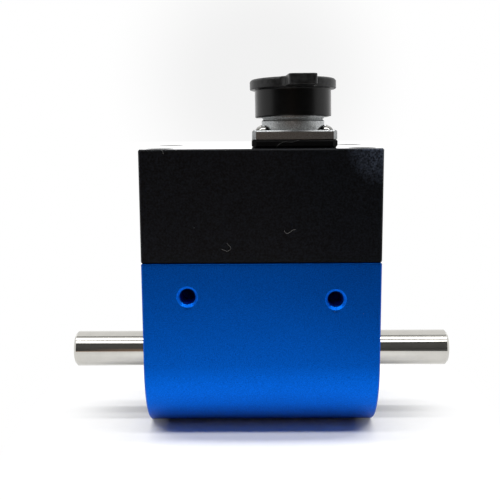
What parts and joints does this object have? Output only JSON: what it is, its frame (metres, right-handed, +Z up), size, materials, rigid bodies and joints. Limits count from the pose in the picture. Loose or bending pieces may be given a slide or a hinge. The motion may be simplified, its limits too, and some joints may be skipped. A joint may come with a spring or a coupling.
{
  "type": "rotary torque sensor",
  "caption": "Rotary torque sensor: a strain-gauged shaft on ball bearings in a round-bottomed blue housing, with a black electronics box and a capped connector on top.",
  "frame": {"origin": "middle of the flat foot under the lower housing", "axes": "+X along the shaft, towards the connector's side; the tapped holes face -Y; +Z up"},
  "size_m": [0.085, 0.032, 0.0759],
  "materials": {
    "blue_anodised": "satin anodised, bead blasted",
    "black_anodised": "matt anodised, bead blasted",
    "ground_steel": "ground and polished",
    "bearing_steel": "polished",
    "bearing_cage": "satin",
    "spring_steel": "oiled black",
    "ferrite": "matt sintered",
    "copper_coil": "enamelled wire",
    "circuit_board": "solder mask",
    "gauge_foil": "film backed foil",
    "brass": "turned",
    "screw_steel": "oiled",
    "bright_screw": "bright plated",
    "chip_black": "moulded",
    "capacitor_sleeve": "shrunk sleeve",
    "gasket_rubber": "moulded",
    "shell_metal": "blasted, bright edges",
    "insert_plastic": "moulded",
    "gold_contact": "gold plated",
    "wire_red": "insulated wire",
    "wire_yellow": "insulated wire",
    "cap_plastic": "soft moulded"
  },
  "bodies": {
    "housing": {"lower_housing": "blue_anodised", "electronics_box": "black_anodised", "box_screws": "screw_steel", "stator_leads": "wire_red", "main_board": "circuit_board", "board_standoffs": "brass", "board_screws": "bright_screw", "board_chips": "chip_black", "board_capacitors": "capacitor_sleeve", "connector_gasket": "gasket_rubber", "connector_shell": "shell_metal", "connector_insert": "insert_plastic", "connector_contacts": "gold_contact", "connector_screws": "bright_screw", "connector_wires": "wire_yellow", "left_bearing_outer": "bearing_steel", "left_bearing_shields": "bearing_steel", "left_retaining_ring": "spring_steel", "left_stator_core": "ferrite", "left_stator_coil": "copper_coil", "right_bearing_outer": "bearing_steel", "right_bearing_shields": "bearing_steel", "right_retaining_ring": "spring_steel", "right_stator_core": "ferrite", "right_stator_coil": "copper_coil"},
    "rotor": {"shaft": "ground_steel", "strain_gauges": "gauge_foil", "rotor_boards": "circuit_board", "left_bearing_inner": "bearing_steel", "left_rotor_core": "ferrite", "left_rotor_coil": "copper_coil", "right_bearing_inner": "bearing_steel", "right_rotor_core": "ferrite", "right_rotor_coil": "copper_coil"},
    "dust_cap": {"dust_cap": "cap_plastic"},
    "left_ball_set": {"left_bearing_balls": "bearing_steel", "left_bearing_cage": "bearing_cage"},
    "right_ball_set": {"right_bearing_balls": "bearing_steel", "right_bearing_cage": "bearing_cage"}
  },
  "joints": [
    {"name": "shaft_spin", "type": "hinge", "parent": "housing", "child": "rotor", "pos_m": [0, 0, 0.01535], "axis": [1, 0, 0], "continuous": true},
    {"name": "left_balls_orbit", "type": "hinge", "parent": "housing", "child": "left_ball_set", "pos_m": [0, 0, 0.01535], "axis": [1, 0, 0], "continuous": true},
    {"name": "right_balls_orbit", "type": "hinge", "parent": "housing", "child": "right_ball_set", "pos_m": [0, 0, 0.01535], "axis": [1, 0, 0], "continuous": true},
    {"name": "dust_cap_pull", "type": "slide", "parent": "housing", "child": "dust_cap", "axis": [0, 0, 1], "range_m": [0, 0.015]}
  ],
  "couplings": [
    {"joint": "left_balls_orbit", "follows": "shaft_spin", "ratio": 0.4},
    {"joint": "right_balls_orbit", "follows": "shaft_spin", "ratio": 0.4}
  ]
}
